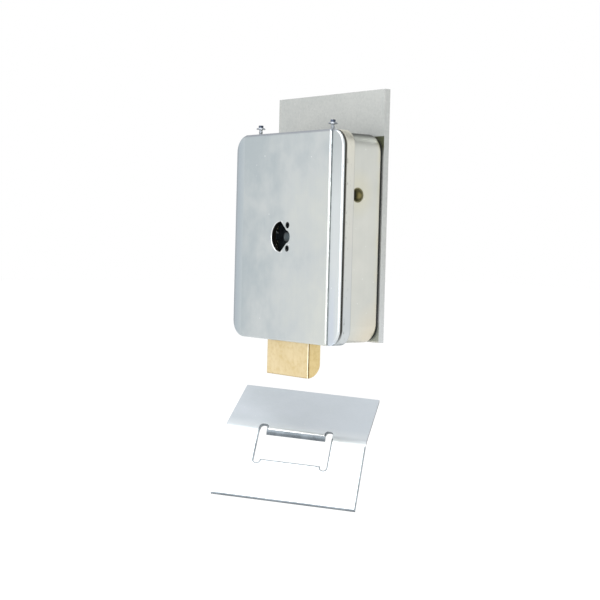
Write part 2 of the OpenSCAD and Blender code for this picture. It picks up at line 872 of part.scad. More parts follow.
// Copper winding between the bobbin's flanges
module coil_winding() {
  inner = plunger_d + 2 * coil_gap + 2 * bobbin_wall + 2 * fit;
  low = bobbin_low + bobbin_flange + fit;
  high = bobbin_top - bobbin_flange - fit;
  color(copper)
  translate([coil_x, coil_y, low]) difference() {
    cylinder(d = bobbin_d - 2 * winding_inset, h = high - low);
    translate([0, 0, -cut]) cylinder(d = inner, h = high - low + 2 * cut);
  }
}

// A quarter bend of a lead in the XZ plane, from a turn of 90 degrees times its number
module lead_bend(x, z, quarter) {
  translate([x, lead_y, z]) rotate([90, 0, 0]) rotate(90 * quarter)
    rotate_extrude(angle = 90) translate([lead_bend_r, 0]) circle(d = lead_d);
}

// A straight stretch of a lead along X, and one along Z
module lead_across(x_low, x_high, z) {
  translate([x_low, lead_y, z]) rotate([0, 90, 0]) cylinder(d = lead_d, h = x_high - x_low);
}

module lead_upright(x, z_low, z_high) {
  translate([x, lead_y, z_low]) cylinder(d = lead_d, h = z_high - z_low);
}

// Two insulated leads from the winding to the terminal block
module coil_leads() {
  winding_r = bobbin_d / 2 - winding_inset;
  aside = lead_y - coil_y - lead_d / 2;
  start_x = coil_x - sqrt(winding_r * winding_r - aside * aside) - slide_gap;
  color(black_plastic)
  for (k = [0, 1]) {
    up_x = lead_up_x + k * lead_step;
    low_z = lead_tail_z + k * 2 * lead_step;
    run_z = lead_run_z + k * 2 * lead_step;
    end_x = term_mid_x + (2 * k - 1) * term_pitch / 2;
    lead_across(up_x + lead_bend_r, start_x, low_z);
    lead_bend(up_x + lead_bend_r, low_z + lead_bend_r, 2);
    lead_upright(up_x, low_z + lead_bend_r, run_z - lead_bend_r);
    lead_bend(up_x - lead_bend_r, run_z - lead_bend_r, 0);
    lead_across(end_x + lead_bend_r, up_x - lead_bend_r, run_z);
    lead_bend(end_x + lead_bend_r, run_z + lead_bend_r, 2);
    lead_upright(end_x, run_z + lead_bend_r, term_mid_z + term_screw_d / 2);
  }
}

// Steel yoke round the coil, with tabs that are screwed to the case floor
module coil_yoke() {
  left = coil_x - yoke_half;
  right = coil_x + yoke_half;
  color(yellow_zinc)
  difference() {
    union() {
      block([left, case_floor - yoke_t, yoke_tab_low], [right, case_floor, yoke_tab_top]);
      block([left, yoke_front, yoke_low], [right, case_floor, yoke_low + yoke_t]);
      block([left, yoke_front, yoke_top], [right, case_floor, yoke_top + yoke_t]);
    }
    translate([coil_x, coil_y, yoke_top - cut]) cylinder(d = plunger_d + 2 * slide_gap, h = yoke_t + 2 * cut);
    translate([coil_x, coil_y, yoke_low - cut]) cylinder(d = core_stud_d + 2 * fit, h = yoke_t + 2 * cut);
    for (z = yoke_screw_z)
      bar_y(coil_x, z, yoke_screw_d + 2 * fit, case_floor + cut, yoke_t + 2 * cut);
  }
}

// Two screws that hold the yoke on the case floor
module yoke_screws() {
  color(steel)
  for (z = yoke_screw_z) {
    bar_y(coil_x, z, yoke_screw_head_d, case_floor - yoke_t, yoke_screw_head_h);
    bar_y(coil_x, z, yoke_screw_d, case_back, case_sheet + yoke_t + cut);
  }
}

// Fixed core in the lower end of the bobbin, with a stud through the yoke
module fixed_core() {
  seat = yoke_low + yoke_t;
  color(steel)
  translate([coil_x, coil_y, 0]) {
    translate([0, 0, seat]) cylinder(d = plunger_d, h = core_top - seat);
    translate([0, 0, yoke_low - core_nut_h]) cylinder(d = core_stud_d, h = core_nut_h + yoke_t + cut);
  }
}

// Hexagon nut on the core's stud
module core_nut() {
  color(steel)
  translate([coil_x, coil_y, yoke_low - core_nut_h]) difference() {
    cylinder(d = core_nut_d, h = core_nut_h, $fn = 6);
    translate([0, 0, -cut]) cylinder(d = core_stud_d + 2 * fit, h = core_nut_h + 2 * cut);
  }
}

// Domed stub of the key hub, with two flats that the key cylinder's tail grips
module hub_stub() {
  difference() {
    intersection() {
      bar_y(0, 0, hub_stub_d, hub_front + cut, hub_front + cut - hub_nose);
      translate([0, hub_nose + hub_dome_r, 0]) sphere(hub_dome_r);
    }
    for (side = [0, 1]) mirror([0, 0, side])
      block([-hub_stub_d, hub_nose - cut, hub_flat / 2], [hub_stub_d, hub_nose + hub_flat_len, hub_stub_d]);
  }
}

// Key hub: stub behind the key opening, lifting arm and spindle
module key_hub() {
  spindle_back = case_floor - slide_gap;
  color(dark_steel)
  difference() {
    union() {
      hub_stub();
      slab(hub_back, hub_plate_t) rotate(hub_swing) {
        circle(hub_boss_r);
        translate([-hub_arm, 0]) circle(hub_end_r);
        translate([-hub_arm, -hub_end_r]) square([hub_arm, 2 * hub_end_r]);
      }
      bar_y(0, 0, hub_spindle_d, spindle_back, spindle_back - hub_back + cut);
      bar_y(0, 0, hub_spindle_d + 2 * hub_collar, hub_bush_front - slide_gap, hub_collar_h);
    }
    slab(hub_back + cut, hub_plate_t + 2 * cut) rotate(hub_swing)
      translate([-hub_arm, 0]) circle(d = drive_pin_d + 2 * fit);
  }
}

// Pin in the hub's arm that lifts the bolt's tail
module hub_drive_pin() {
  pin_back = tail_back - pin_recess;
  color(steel)
  bar_y(-hub_arm * cos(hub_swing), -bolt_travel / 2, drive_pin_d, pin_back, pin_back - hub_front);
}

// Flanged bush on the case floor that carries the hub's spindle
module hub_bush() {
  outer = hub_spindle_d + 2 * hub_bush_wall;
  color(brass)
  difference() {
    union() {
      bar_y(0, 0, outer, case_floor, case_floor - hub_bush_front);
      bar_y(0, 0, outer + 2 * hub_bush_flange, case_floor, hub_bush_flange_t);
    }
    bar_y(0, 0, hub_spindle_d + 2 * fit, case_floor + cut, case_floor - hub_bush_front + 2 * cut);
  }
}

// Terminal block on the case floor, with two wire funnels
module terminal_block() {
  color(black_plastic)
  difference() {
    union() {
      block([term_x, term_front, term_low], [term_x + term_w, case_floor, term_top]);
      block([term_mid_x - term_rib / 2, term_front - term_rib_h, term_low],
            [term_mid_x + term_rib / 2, case_floor, term_top]);
    }
    for (side = [-1, 1]) {
      x = term_mid_x + side * term_pitch / 2;
      translate([x, lead_y, term_low - cut]) cylinder(d = term_bore_d, h = term_h + 2 * cut);
      bar_y(x, term_mid_z, term_well_d, lead_y, term_bore_depth + cut);
    }
  }
}

// Clamp screws of the terminal block
module terminal_screws() {
  front = term_front + term_screw_sunk;
  back = lead_y - lead_d / 2 - term_clamp_gap;
  color(brass)
  for (side = [-1, 1]) {
    x = term_mid_x + side * term_pitch / 2;
    difference() {
      bar_y(x, term_mid_z, term_screw_d, back, back - front);
      block([x - term_screw_d, front - cut, term_mid_z - term_slot_w / 2],
            [x + term_screw_d, front + term_slot_depth, term_mid_z + term_slot_w / 2]);
    }
  }
}

// Points of a bend that starts upright over its centre and turns to the front
function bend_arc(centre, r, angle) =
  [for (i = [0:bend_steps]) let (a = angle * i / bend_steps) centre + r * [-sin(a), cos(a)]];

function backwards(points) = [for (i = [len(points) - 1:-1:0]) points[i]];

// Side view of a sheet that lies flat at height 0 and bends down to the front
module bent_section(tangent, in_r, angle, back, leg) {
  centre = [tangent, -in_r - strike_t];
  along = [-cos(angle), -sin(angle)];
  top = bend_arc(centre, in_r + strike_t, angle);
  under = bend_arc(centre, in_r, angle);
  polygon(concat(
    [[back, 0]], top, [top[bend_steps] + leg * along],
    [under[bend_steps] + leg * along], backwards(under), [[back, -strike_t]]
  ));
}

// Hole in the lower flat, drawn from the bend line downwards, with notches at its corners
module strike_hole_outline() {
  notch_x = strike_hole_w / 2 - strike_notch_w / 2;
  notch_low = -strike_hole_len - strike_notch_reach + strike_notch_w / 2;
  notch_high = strike_tangent;
  lip_edge = strike_tangent * cos(strike_bend);
  translate([-strike_hole_w / 2, -strike_hole_len]) square([strike_hole_w, strike_hole_len + lip_edge]);
  for (side = [-1, 1]) {
    for (z = [notch_low, notch_high])
      translate([side * notch_x, z]) circle(d = strike_notch_w);
    translate([side * notch_x - strike_notch_w / 2, notch_low])
      square([strike_notch_w, notch_high - notch_low]);
  }
}

// Bent strike plate that is fixed to the ground or the other leaf
module strike_plate() {
  lip_w = strike_hole_w - 2 * strike_notch_w - 4 * fit;
  color(zinc)
  translate(strike_pos) rotate([0, 0, strike_yaw]) rotate([strike_pitch, 0, 0]) rotate([0, strike_roll, 0]) {
    difference() {
      translate([-strike_w / 2, 0, 0]) rotate([90, 0, 90]) linear_extrude(strike_w)
        bent_section(strike_tangent, strike_bend_r, strike_bend, strike_up, strike_low - strike_tangent);
      rotate([strike_bend, 0, 0]) translate([0, 0, -4 * strike_t]) linear_extrude(6 * strike_t)
        strike_hole_outline();
    }
    translate([-lip_w / 2, 0, 0]) rotate([90, 0, 90]) linear_extrude(lip_w)
      bent_section(strike_tangent, lip_in_r, 90, strike_tangent + 2 * strike_t, strike_lip - lip_out_r);
  }
}

mounting_plate();
rear_case();
lid_frame();
front_cover();
cover_gasket();
cover_screws();
screw_nuts();
case_screws();
case_pad();
cable_bush();
bolt_head();
bolt_tail();
tail_rivets();
bolt_guide();
spring_bracket();
spring_rod();
bolt_spring();
release_lever();
lever_drive_pin();
lever_pivot_pin();
lever_clip();
plunger();
link_pin();
coil_bobbin();
coil_winding();
coil_leads();
coil_yoke();
yoke_screws();
fixed_core();
core_nut();
key_hub();
hub_drive_pin();
hub_bush();
terminal_block();
terminal_screws();
strike_plate();
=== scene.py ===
import json
import math

import bpy
from mathutils import Matrix, Vector


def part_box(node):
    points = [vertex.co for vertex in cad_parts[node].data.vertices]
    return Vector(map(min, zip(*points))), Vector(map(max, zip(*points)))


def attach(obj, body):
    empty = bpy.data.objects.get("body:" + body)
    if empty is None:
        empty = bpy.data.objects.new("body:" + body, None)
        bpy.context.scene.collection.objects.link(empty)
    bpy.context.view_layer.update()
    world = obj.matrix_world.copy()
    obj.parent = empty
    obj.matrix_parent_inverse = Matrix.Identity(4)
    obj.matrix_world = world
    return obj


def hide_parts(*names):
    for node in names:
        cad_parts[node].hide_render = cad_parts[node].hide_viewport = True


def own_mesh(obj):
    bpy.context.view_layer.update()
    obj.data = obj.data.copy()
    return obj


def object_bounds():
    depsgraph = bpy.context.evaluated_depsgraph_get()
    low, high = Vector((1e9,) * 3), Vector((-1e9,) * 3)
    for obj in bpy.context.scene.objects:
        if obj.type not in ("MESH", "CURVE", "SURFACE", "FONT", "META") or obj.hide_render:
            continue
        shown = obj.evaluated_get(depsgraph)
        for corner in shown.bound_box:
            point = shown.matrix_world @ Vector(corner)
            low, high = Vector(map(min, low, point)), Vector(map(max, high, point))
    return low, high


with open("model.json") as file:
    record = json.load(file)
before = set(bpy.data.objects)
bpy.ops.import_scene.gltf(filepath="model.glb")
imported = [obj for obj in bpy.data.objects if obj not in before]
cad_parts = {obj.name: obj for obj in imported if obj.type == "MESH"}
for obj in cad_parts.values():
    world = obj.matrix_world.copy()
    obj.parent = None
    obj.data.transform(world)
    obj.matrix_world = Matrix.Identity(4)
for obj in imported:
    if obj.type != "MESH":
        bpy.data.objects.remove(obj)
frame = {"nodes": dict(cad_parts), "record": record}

CAD_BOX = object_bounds()
MM = 0.001
BODY_OF = {node: body for body, nodes in frame["record"]["behaviour"]["bodies"].items() for node in nodes}
SLOT_OF = {part["node"]: part["material_slot"] for part in frame["record"]["subparts"]}


# Places on the cover, the lid, the case and the cable bush that finishes and edges need

PANEL_HALF = 44.6 * MM
COVER_SHEET = 1.5 * MM
KEY_CENTRE_MM = (-3.1, 0, 0)
KEY_R_MM = 9.5
KEY_LEFT_END = -1 * MM
LID_HOLE_MM = (-2.5, 0, 0)
LID_HOLE_R_MM = 13
ENTRY_MM = (53, -23, 27)
BUSH_SPOT_MM = (50.2, 0, 25.6)
LOW_CORNER_MM = (50, -10, -60)
ON_FACE = 0.05 * MM


# Small helpers

def linear(hex_colour):
    """An sRGB hex colour as linear red, green, blue and alpha."""
    channels = [int(hex_colour[i:i + 2], 16) / 255 for i in (1, 3, 5)]
    return [c / 12.92 if c <= 0.04045 else ((c + 0.055) / 1.055) ** 2.4 for c in channels] + [1.0]


def per(size_mm):
    """Texture scale for a pattern whose features are this many millimetres wide."""
    return 1 / (size_mm * MM)


def add(tree, kind, inputs=(), **settings):
    """Adds a node, sets its properties, fills its inputs and gives back its outputs.

    Inputs come in the node's own order, or by name or number. Each is a value, a hex colour or another
    node's output.
    """
    node = tree.nodes.new("ShaderNode" + kind)
    for name, value in settings.items():
        setattr(node, name, value)
    for key, value in inputs.items() if isinstance(inputs, dict) else enumerate(inputs):
        if isinstance(value, bpy.types.NodeSocket):
            tree.links.new(value, node.inputs[key])
        else:
            node.inputs[key].default_value = linear(value) if isinstance(value, str) else value
    return node.outputs


def start_material(name):
    """A new material with an empty tree and its Object coordinates."""
    material = bpy.data.materials.new(name)
    material.use_nodes = True
    tree = material.node_tree
    tree.nodes.clear()
    return material, tree, add(tree, "TexCoord")["Object"]


def finish_material(tree, colour, roughness, bump_height, bump_mm, **values):
    """The shader, with a bump of the given height and the uniform values on its own sockets."""
    bump = add(tree, "Bump", {"Strength": 1.0, "Distance": bump_mm * MM, "Height": bump_height})
    shader = add(tree, "BsdfPrincipled",
                 {"Base Color": colour, "Roughness": roughness, "Normal": bump["Normal"], **values})
    add(tree, "OutputMaterial", {"Surface": shader["BSDF"]})


def layered(tree, colour, *layers):
    """Lays further colours over a first one, each by its own share."""
    for share, over in layers:
        colour = add(tree, "Mix", {0: share, 6: colour, 7: over}, data_type="RGBA")[2]
    return colour


def two_tones(tree, pattern, low, dark, high, light):
    """A dark and a light colour that follow a pattern between two of its values."""
    share = add(tree, "MapRange", [pattern, low, high, 0.0, 1.0])[0]
    return layered(tree, dark, (share, light))


def drawn_lines(tree, place, width_mm, run_mm, detail):
    """Fine lines along Z, about this many millimetres wide and long."""
    scale = (per(width_mm), per(width_mm), per(run_mm))
    stretched = add(tree, "Mapping", {"Vector": place, "Scale": scale})["Vector"]
    return add(tree, "TexNoise", {"Vector": stretched, "Scale": 1.0, "Detail": detail})["Fac"]


def near(tree, place, centre_mm, weights, full_mm, none_mm):
    """1 near a point and 0 away from it; a weight of 0 leaves that axis out."""
    centre = [c * MM for c in centre_mm]
    shifted = add(tree, "VectorMath", [place, centre], operation="SUBTRACT")["Vector"]
    weighted = add(tree, "VectorMath", [shifted, weights], operation="MULTIPLY")["Vector"]
    away = add(tree, "VectorMath", [weighted], operation="LENGTH")["Value"]
    return add(tree, "MapRange", [away, full_mm * MM, none_mm * MM, 1.0, 0.0])[0]


# Tones of the cover's areas, and tints, which give a piece's colour with its painted light and shade, and how
# dull it is

def panel_tone(tree, place, x, z, high):
    """The raised panel: darker and bluish at its left, paler and warmer at its right, darker at its top and
    mottled all over; the changes across it, at its top and low down at its right, and the dark line along its
    left edge, are painted light and shade.
    """
    # Painted light: darker at the left and paler towards the right.
    across = add(tree, "MapRange", [x, -PANEL_HALF, PANEL_HALF, 0.0, 0.8])[0]
    clouds = add(tree, "TexNoise", {"Vector": place, "Scale": per(30), "Detail": 3.0})["Fac"]
    wander = add(tree, "MapRange", [clouds, 0.3, 0.7, -0.22, 0.3])[0]
    spots = add(tree, "TexNoise", {"Vector": place, "Scale": per(7), "Detail": 6.0})["Fac"]
    mottle = add(tree, "MapRange", [spots, 0.3, 0.7, -0.14, 0.14])[0]
    # Painted shade towards the top, and painted light low down at the right.
    top = add(tree, "MapRange", [z, high.z - 45 * MM, high.z - 3 * MM, 0.0, -0.4])[0]
    low = add(tree, "MapRange", [z, -10 * MM, -60 * MM, 0.0, 0.45])[0]
    to_right = add(tree, "MapRange", [x, 0.0, PANEL_HALF, 0.0, 1.0])[0]
    low_right = add(tree, "Math", [low, to_right], operation="MULTIPLY")[0]
    tone = across
    for change in (wander, mottle, top, low_right):
        tone = add(tree, "Math", [tone, change], operation="ADD")[0]
    pale = add(tree, "MapRange", [tone, -0.1, 0.45, 0.0, 1.0])[0]
    warm = add(tree, "MapRange", [tone, 0.45, 1.35, 0.0, 1.0])[0]
    # Painted shade: a dark line along the panel's left edge.
    left_edge = add(tree, "MapRange", [x, 1.0 * MM - PANEL_HALF, 0.2 * MM - PANEL_HALF, 0.0, 0.7])[0]
    return layered(tree, "#a8b2b6", (pale, "#c2c7c7"), (warm, "#d1d3cb"), (left_edge, "#98a1aa"))


def strip_tone(tree, x, z, low, high):
    """The sunk strips, in painted light and shade: the right one bright, shaded towards its top and bluish
    low down, the left one darker, and darkest at its outer edge.
    """
    # Painted shade towards the top of the right strip.
    shaded_top = add(tree, "MapRange", [z, 20 * MM, high.z, 0.0, 1.0])[0]
    low_down = add(tree, "MapRange", [z, -15 * MM, -50 * MM, 0.0, 0.85])[0]
    inner = add(tree, "MapRange", [x, high.x - 5.5 * MM, high.x - 2 * MM, 1.0, 0.0])[0]
    bluish = add(tree, "Math", [low_down, inner], operation="MULTIPLY")[0]
    right = layered(tree, "#d4d9da", (shaded_top, "#b2b8b8"), (bluish, "#c7cfdb"))
    # Painted shade: the left strip darker than the right one, and darkest at its outer edge.
    off_edge = add(tree, "MapRange", [x, low.x + 0.8 * MM, low.x + 3 * MM, 0.0, 1.0])[0]
    by_panel = add(tree, "MapRange", [x, low.x + 4 * MM, -PANEL_HALF, 0.0, 1.0])[0]
    left = layered(tree, "#7d838c", (off_edge, "#a2adb5"), (by_panel, "#b5bec1"))
    on_left = add(tree, "Math", [x, 0.0], operation="LESS_THAN")[0]
    return layered(tree, right, (on_left, left))


def cover_tint(tree, place, colour):
    """Panel and strips in their own tones, with painted shade along the top edge, at the foot of the panel's
    step and on the key opening's inner wall, and a painted highlight on the rim at the key.
    """
    low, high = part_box("front_cover")
    x, y, z = add(tree, "SeparateXYZ", [place])
    sideways = add(tree, "Math", [x], operation="ABSOLUTE")[0]
    outside = add(tree, "Math", [sideways, PANEL_HALF], operation="GREATER_THAN")[0]
    # Painted shade along the cover's top edge.
    top = add(tree, "MapRange", [z, high.z - 1.8 * MM, high.z - 0.6 * MM, 0.0, 0.85])[0]

    # Painted shade in the crease at the foot of the panel's right step, broken up by noise and fading
    # downwards.
    foot = (PANEL_HALF / MM + 0.1, (high.y - COVER_SHEET) / MM, 0)
    at_foot = near(tree, place, foot, (1, 1, 0), 0.3, 0.75)
    patches = add(tree, "TexNoise", {"Vector": place, "Scale": per(4), "Detail": 3.0})["Fac"]
    shade_share = add(tree, "MapRange", [patches, 0.35, 0.6, 0.62, 0.85])[0]
    upwards = add(tree, "MapRange", [z, low.z, high.z, 0.75, 1.0])[0]
    dark_share = add(tree, "Math", [shade_share, upwards], operation="MULTIPLY")[0]
    step = add(tree, "Math", [at_foot, dark_share], operation="MULTIPLY")[0]

    # Painted highlight on the rim at the left of the key opening.
    at_rim = near(tree, place, KEY_CENTRE_MM, (1, 0, 1), KEY_R_MM + 0.4, KEY_R_MM + 0.55)
    on_left = add(tree, "Math", [x, KEY_LEFT_END], operation="LESS_THAN")[0]
    rim = add(tree, "Math", [at_rim, on_left], operation="MULTIPLY")[0]
    # Painted shade on the key opening's inner wall behind its rolled edge.
    in_opening = near(tree, place, KEY_CENTRE_MM, (1, 0, 1), KEY_R_MM + 0.1, KEY_R_MM + 0.15)
    behind = add(tree, "MapRange", [y, low.y + 0.5 * MM, low.y + 0.7 * MM, 0.0, 1.0])[0]
    wall = add(tree, "Math", [in_opening, behind], operation="MULTIPLY")[0]

    panel = panel_tone(tree, place, x, z, high)
    strips = strip_tone(tree, x, z, low, high)
    tinted = layered(tree, panel, (outside, strips), (0.25, colour), (top, "#858992"), (step, "#5c6366"),
                     (rim, "#dde0e0"), (wall, "#1c1e1d"))
    return tinted, add(tree, "Math", [step, wall], operation="MAXIMUM")[0]


def lid_tint(tree, place, colour):
    """Painted shade in the groove under the cover, short dark streaks behind it, painted shade round the
    opening behind the key and along the rear edge, cream at the top and bluish low down.
    """
    low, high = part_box("lid_frame")
    y, z = add(tree, "SeparateXYZ", [place])[1:]
    # Painted shade in the groove under the cover's edge.
    under_cover = add(tree, "MapRange", [y, low.y + 0.7 * MM, low.y + 1.3 * MM, 0.92, 0.0])[0]
    above_foot = add(tree, "MapRange", [z, low.z + 2 * MM, low.z + 9 * MM, 0.3, 1.0])[0]
    groove = add(tree, "Math", [under_cover, above_foot], operation="MULTIPLY")[0]
    behind = add(tree, "MapRange", [y, low.y + 1.0 * MM, low.y + 5 * MM, 1.0, 0.0])[0]
    marks = add(tree, "MapRange", [drawn_lines(tree, place, 1.2, 3.5, 4.0), 0.6, 0.72, 0.0, 0.75])[0]
    streaks = add(tree, "Math", [behind, marks], operation="MULTIPLY")[0]
    # Painted shade round the opening that shows through the key opening.
    hole = near(tree, place, LID_HOLE_MM, (1, 0, 1), LID_HOLE_R_MM, LID_HOLE_R_MM + 1)
    dark_share = groove
    for marked in (streaks, hole):
        dark_share = add(tree, "Math", [dark_share, marked], operation="MAXIMUM")[0]
    bluish = add(tree, "MapRange", [z, 0.0, -45 * MM, 0.0, 0.8])[0]
    cream = add(tree, "MapRange", [z, 25 * MM, high.z, 0.0, 0.7])[0]
    # Painted shade: a dark line along the rear edge.
    rear = add(tree, "MapRange", [y, high.y - 0.7 * MM, high.y - 0.2 * MM, 0.0, 0.35])[0]
    tinted = layered(tree, colour, (bluish, "#c6cccf"), (cream, "#dedbca"), (rear, "#8f9190"),
                     (dark_share, "#2b2924"))
    return tinted, dark_share


def case_tint(tree, place, colour):
    """Yellow stains along the back edge, round the cable entry and at the low corner, and painted shade that
    darkens the top.
    """
    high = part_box("rear_case")[1]
    y, z = add(tree, "SeparateXYZ", [place])[1:]
    band = add(tree, "MapRange", [y, high.y - 5 * MM, high.y - 1 * MM, 0.0, 0.5])[0]
    patches = add(tree, "TexNoise", {"Vector": place, "Scale": per(9), "Detail": 3.0})["Fac"]
    broken = add(tree, "MapRange", [patches, 0.35, 0.65, 0.3, 1.0])[0]
    rear = add(tree, "Math", [band, broken], operation="MULTIPLY")[0]
    at_entry = near(tree, place, ENTRY_MM, (1, 1, 0.8), 5, 13)
    entry = add(tree, "Math", [at_entry, 0.3], operation="MULTIPLY")[0]
    yellow = add(tree, "Math", [rear, entry], operation="MAXIMUM")[0]
    at_corner = near(tree, place, LOW_CORNER_MM, (1, 1, 0.7), 3, 16)
    corner = add(tree, "Math", [at_corner, 0.7], operation="MULTIPLY")[0]
    # Painted shade darkening the case towards its top.
    top = add(tree, "MapRange", [z, high.z - 5.0 * MM, high.z - 1.2 * MM, 0.0, 1.0])[0]
    return layered(tree, colour, (yellow, "#d6d0b0"), (corner, "#d9d0bc"), (top, "#3a3b38")), 0.0


# The strike's bend in the shared frame: its axis, the way over the upper flat and where that flat begins

ALONG_BEND = (0.7262, 0.6836, -0.0729)
FROM_BEND = (-0.6348, 0.7075, 0.3107)
FLAT_BEGINS = -56.9 * MM
BEND_SHARE = "bend_share"


def strike_tint(tree, place, colour):
    """Bluish on the upper flat, with painted light that makes it paler to its right and a painted highlight
    beside the bend and round it.
    """
    to_right = add(tree, "VectorMath", [place, ALONG_BEND], operation="DOT_PRODUCT")["Value"]
    # Painted light: paler towards the right.
    paler = add(tree, "MapRange", [to_right, -45 * MM, 35 * MM, 0.0, 0.8])[0]
    share = add(tree, "Attribute", attribute_name=BEND_SHARE)["Fac"]
    # Painted highlight round the bend, by how far each face is turned, and beside it on the upper flat.
    round_bend = add(tree, "MapRange", [share, 0.1, 0.9, 0.0, 0.9])[0]
    away = add(tree, "VectorMath", [place, FROM_BEND], operation="DOT_PRODUCT")["Value"]
    beside = add(tree, "MapRange", [away, FLAT_BEGINS, FLAT_BEGINS + 9 * MM, 0.4, 0.0])[0]
    bright = add(tree, "Math", [round_bend, beside], operation="MAXIMUM")[0]
    return layered(tree, colour, (paler, "#e0e8ef"), (bright, "#f2f6f8")), 0.0


def bolt_tint(tree, place, colour):
    """Painted light and shade: the narrow side in a deeper yellow shade, a painted highlight on the front
    edge with a brown shade line behind it, and darker outer edges.
    """
    low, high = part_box("bolt_head")
    x, y, z = add(tree, "SeparateXYZ", [place])
    # Painted shade along the left and lower edges.
    left = add(tree, "MapRange", [x, low.x + 0.7 * MM, low.x + 0.2 * MM, 0.0, 0.7])[0]
    tip = add(tree, "MapRange", [z, low.z + 0.7 * MM, low.z + 0.2 * MM, 0.0, 0.7])[0]
    shade_share = add(tree, "Math", [left, tip], operation="MAXIMUM")[0]
    spots = add(tree, "TexNoise", {"Vector": place, "Scale": per(2.5), "Detail": 5.0})["Fac"]
    patches = add(tree, "MapRange", [spots, 0.45, 0.7, 0.0, 0.35])[0]
    front = layered(tree, colour, (patches, "#c9ad6c"), (shade_share, "#a68c58"))
    # Painted shade: the narrow side deeper yellow than the front, with a brown line just behind the front
    # edge.
    line = add(tree, "MapRange", [y, low.y + 0.8 * MM, low.y + 1.7 * MM, 0.95, 0.0])[0]
    narrow = layered(tree, "#e0ca94", (patches, "#bd9f5c"), (line, "#6b4f24"))
    side = add(tree, "MapRange", [x, high.x - 0.3 * MM, high.x - 0.05 * MM, 0.0, 1.0])[0]
    # Painted highlight along the front edge's rounding.
    edge = near(tree, place, (high.x / MM, low.y / MM, 0), (1, 1, 0), 0.34, 0.44)
    return layered(tree, front, (side, narrow), (edge, "#f6edd0")), 0.0


def hub_tint(tree, place, colour):
    """Painted shade on the hub's nose above and below its middle, which keeps its own colour."""
    z = add(tree, "SeparateXYZ", [place])["Z"]
    height = add(tree, "Math", [z], operation="ABSOLUTE")[0]
    # Painted shade above and below the middle.
    shade_above_below = add(tree, "MapRange", [height, 1.0 * MM, 3.0 * MM, 0.0, 0.85])[0]
    return layered(tree, colour, (shade_above_below, "#14181a")), 0.0


def bush_tint(tree, place, colour):
    """Darkened all over as painted shade inside the cable entry, with a painted patch of yellow light where
    light reaches in.
    """
    patch = near(tree, place, BUSH_SPOT_MM, (1, 0, 1), 0.9, 2.6)
    # Painted shade over the whole bush, and a painted patch of light.
    return layered(tree, colour, (0.75, "#4f5140"), (patch, "#d6c88a")), 0.0


def plain_tint(tree, place, colour):
    """No change of colour, and nothing dull."""
    return colour, 0.0


# Finishes

def zinc_sheet(name, dark, light, rough_low, rough_high, tint):
    """Zinc plated, passivated steel sheet: pale satin metal with faint clouds, drawing lines and specks."""
    material, tree, place = start_material(name)
    clouds = add(tree, "TexNoise", {"Vector": place, "Scale": per(22), "Detail": 5.0})["Fac"]
    tinted, dull = tint(tree, place, two_tones(tree, clouds, 0.3, dark, 0.7, light))
    dots = add(tree, "TexVoronoi", {"Vector": place, "Scale": per(7)})
    dot = add(tree, "MapRange", [dots["Distance"], 0.04, 0.07, 1.0, 0.0])[0]
    chance = add(tree, "SeparateColor", [dots["Color"]])["Red"]
    kept = add(tree, "MapRange", [chance, 0.45, 0.9, 0.0, 0.9])[0]
    speck = add(tree, "Math", [dot, kept], operation="MULTIPLY")[0]
    lines = drawn_lines(tree, place, 1.6, 30, 3.0)
    satin = add(tree, "MapRange", [lines, 0.3, 0.7, rough_low, rough_high])[0]
    marked = add(tree, "Math", [dull, 0.9], operation="MULTIPLY")[0]
    rough = add(tree, "Math", [satin, marked], operation="MAXIMUM")[0]
    grain = add(tree, "TexNoise", {"Vector": place, "Scale": per(1.1), "Detail": 2.0})["Fac"]
    height = add(tree, "Math", [lines, grain], operation="ADD")[0]
    finish_material(tree, layered(tree, tinted, (speck, "#f4f6f6")), rough, height, 0.004, Metallic=0.9)
    return material


# Painted shade behind the case's right corners; the upper patch also holds an olive stain.
def corner_shade_and_stain(tree, x, y, z, side):
    """1 on the plate's front behind a right corner of the case, the upper (1) or lower one (-1), else 0."""
    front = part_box("mounting_plate")[0].y
    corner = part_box("rear_case")[1]
    height = add(tree, "Math", [z, side], operation="MULTIPLY")[0]
    from_below = add(tree, "MapRange", [height, corner.z - 14 * MM, corner.z - 8 * MM, 0.0, 1.0])[0]
    from_above = add(tree, "MapRange", [height, corner.z - 1.0 * MM, corner.z - 1.4 * MM, 0.0, 1.0])[0]
    right = add(tree, "MapRange", [x, corner.x - 12 * MM, corner.x - 8 * MM, 0.0, 1.0])[0]
    shade_and_stain = add(tree, "Math", [y, front + ON_FACE], operation="LESS_THAN")[0]
    for share in (from_below, from_above, right):
        shade_and_stain = add(tree, "Math", [shade_and_stain, share], operation="MULTIPLY")[0]
    return shade_and_stain


def galvanised_plate():
    """Galvanised steel plate: matt pale grey with a fine sparkling grain about a millimetre across."""
    material, tree, place = start_material("galvanised_steel")
    x, y, z = add(tree, "SeparateXYZ", [place])
    spangle = add(tree, "TexVoronoi", {"Vector": place, "Scale": per(1.3)})["Color"]
    red, green, blue = add(tree, "SeparateColor", [spangle])
    soft = add(tree, "TexNoise", {"Vector": place, "Scale": per(35), "Detail": 4.0})["Fac"]
    tone = add(tree, "Math", [red, 0.3, soft], operation="MULTIPLY_ADD")[0]
    zinc = two_tones(tree, tone, 0.35, "#b2b5b3", 1.0, "#c1c3c0")
    lower = add(tree, "MapRange", [z, -10 * MM, -60 * MM, 0.0, 0.7])[0]
    # Painted shade with an olive stain behind the case's upper right corner, and painted shade behind its
    # lower right corner.
    colour = layered(tree, zinc, (lower, "#cdd0d1"), (corner_shade_and_stain(tree, x, y, z, 1), "#50533f"),
                     (corner_shade_and_stain(tree, x, y, z, -1), "#a6aba3"))
    rough = add(tree, "MapRange", [green, 0.0, 1.0, 0.4, 0.58])[0]
    finish_material(tree, colour, rough, blue, 0.012, Metallic=0.75)
    return material


